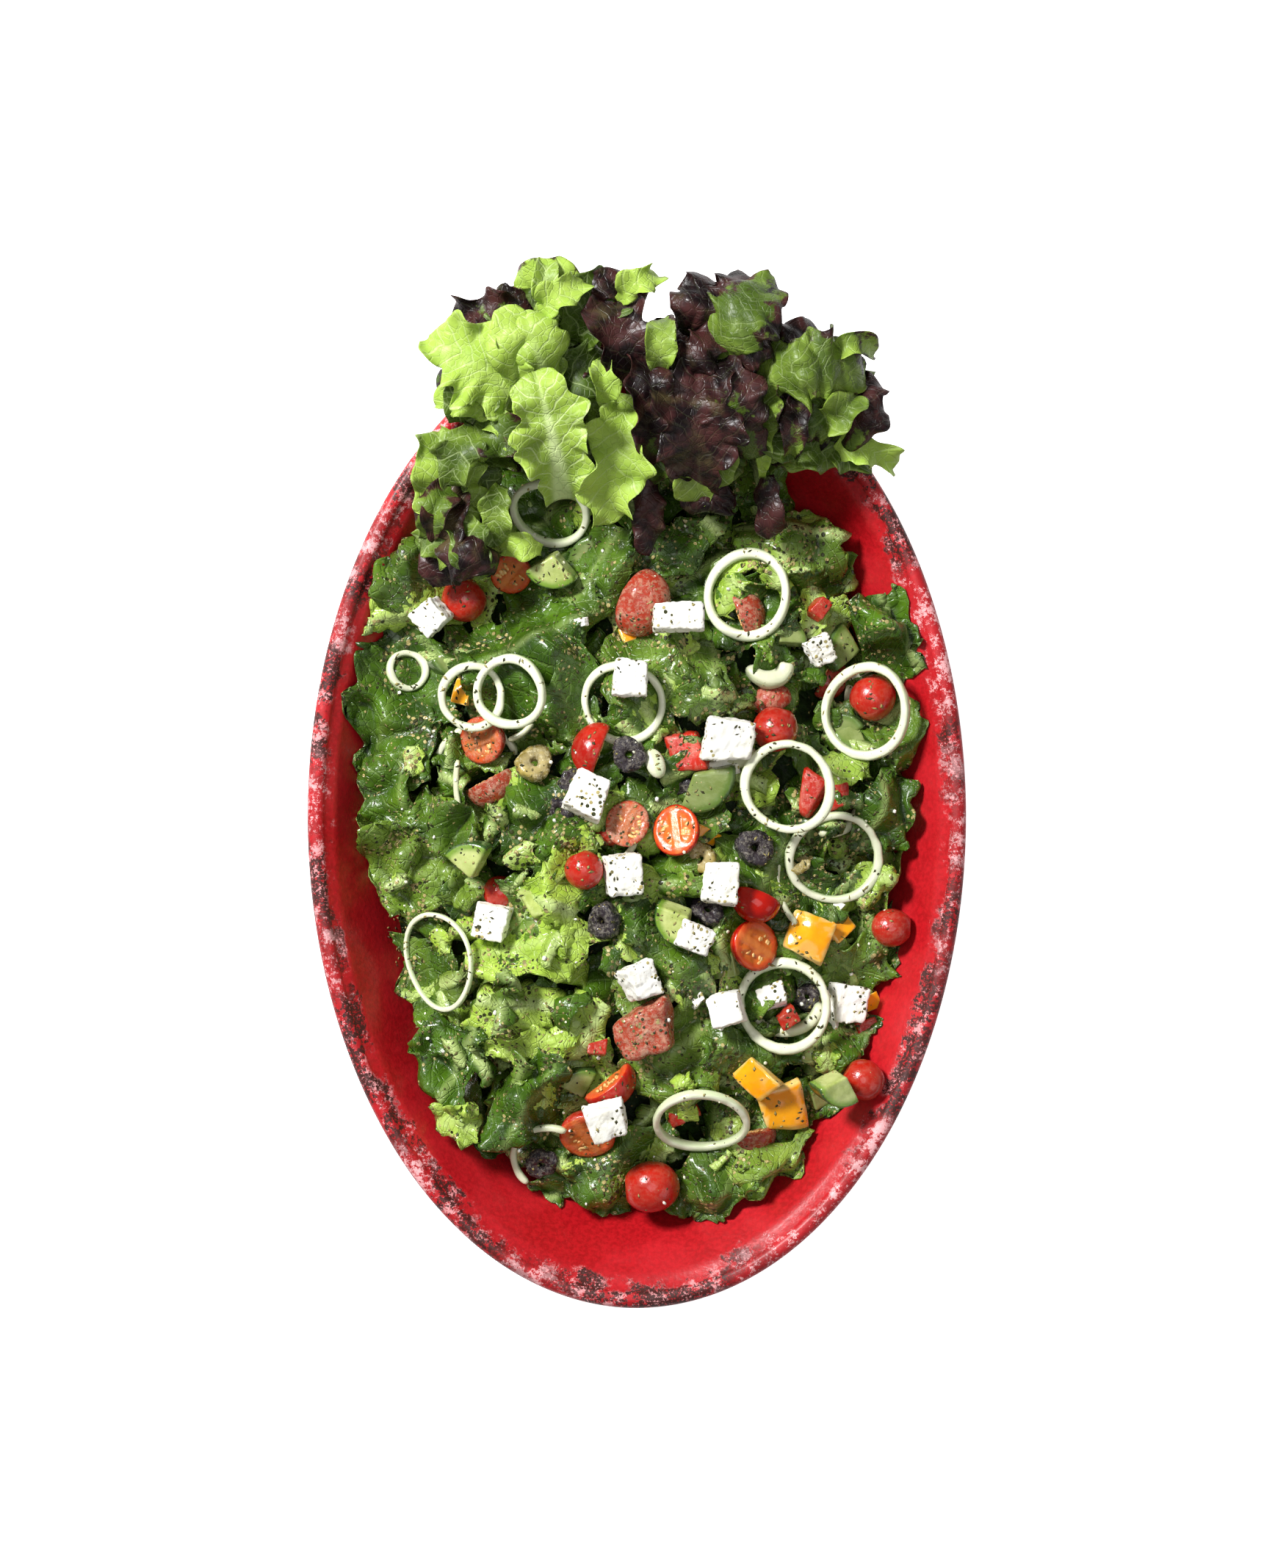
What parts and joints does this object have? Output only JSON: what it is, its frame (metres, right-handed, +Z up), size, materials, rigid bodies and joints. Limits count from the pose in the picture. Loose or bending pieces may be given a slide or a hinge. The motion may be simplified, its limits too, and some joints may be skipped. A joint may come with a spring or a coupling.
{
  "type": "greek salad",
  "caption": "Greek salad of romaine, tomato, feta, olives, peppers, cucumber and onion rings in an oval red bowl, with a lettuce garnish standing at one end.",
  "frame": {"origin": "middle of the bowl's flat foot", "axes": "+Z up, +Y along the bowl towards the garnish, +X across it"},
  "size_m": [0.288, 0.4604, 0.1618],
  "materials": {
    "bowl_red": "red melamine, finely mottled, with a worn and crackled band round the rim",
    "romaine": "wet torn romaine with pale ribs, dried herbs and dressing",
    "green_leaf": "pale green frilled lettuce with a translucent rib",
    "red_leaf": "purple-brown oak-leaf lettuce with green undersides",
    "onion": "white onion, slightly see-through, greenish at the edges",
    "feta": "white crumbly cheese with dark herb flakes",
    "tomato": "glossy red skin, orange-red wet cut flesh with seeds",
    "yellow_pepper": "glossy yellow-orange skin",
    "black_olive": "dark purple-black, dusted with dressing",
    "green_olive": "brown-green, pitted",
    "cucumber": "pale green wet flesh with dark green skin"
  },
  "bodies": {
    "root": {"bowl": "bowl_red", "cherry_tomato_1": "tomato", "cherry_tomato_2": "tomato", "cherry_tomato_3": "tomato", "cherry_tomato_4": "tomato", "cherry_tomato_5": "tomato", "cherry_tomato_6": "tomato", "cucumber_1": "cucumber", "cucumber_2": "cucumber", "cucumber_3": "cucumber", "cucumber_4": "cucumber", "feta_01": "feta", "feta_02": "feta", "feta_03": "feta", "feta_04": "feta", "feta_05": "feta", "feta_06": "feta", "feta_07": "feta", "feta_08": "feta", "feta_09": "feta", "feta_10": "feta", "feta_11": "feta", "feta_12": "feta", "feta_13": "feta", "feta_14": "feta", "garnish_frilled_leaves": "green_leaf", "garnish_green_leaves": "green_leaf", "garnish_red_leaves": "red_leaf", "garnish_side_leaf": "red_leaf", "olive_1": "black_olive", "olive_2": "black_olive", "olive_3": "black_olive", "olive_4": "green_olive", "onion_ring_01": "onion", "onion_ring_02": "onion", "onion_ring_03": "onion", "onion_ring_04": "onion", "onion_ring_05": "onion", "onion_ring_06": "onion", "onion_ring_07": "onion", "onion_ring_08": "onion", "onion_ring_09": "onion", "onion_ring_10": "onion", "onion_ring_11": "onion", "onion_ring_12": "onion", "pepper_1": "yellow_pepper", "pepper_2": "yellow_pepper", "pepper_3": "yellow_pepper", "salad_heap": "romaine", "tomato_half_1": "tomato", "tomato_half_2": "tomato", "tomato_half_3": "tomato", "tomato_half_4": "tomato", "tomato_half_5": "tomato", "tomato_half_6": "tomato", "tomato_wedge_1": "tomato", "tomato_wedge_2": "tomato", "tomato_wedge_3": "tomato", "tomato_wedge_4": "tomato", "tomato_wedge_5": "tomato"}
  },
  "joints": []
}
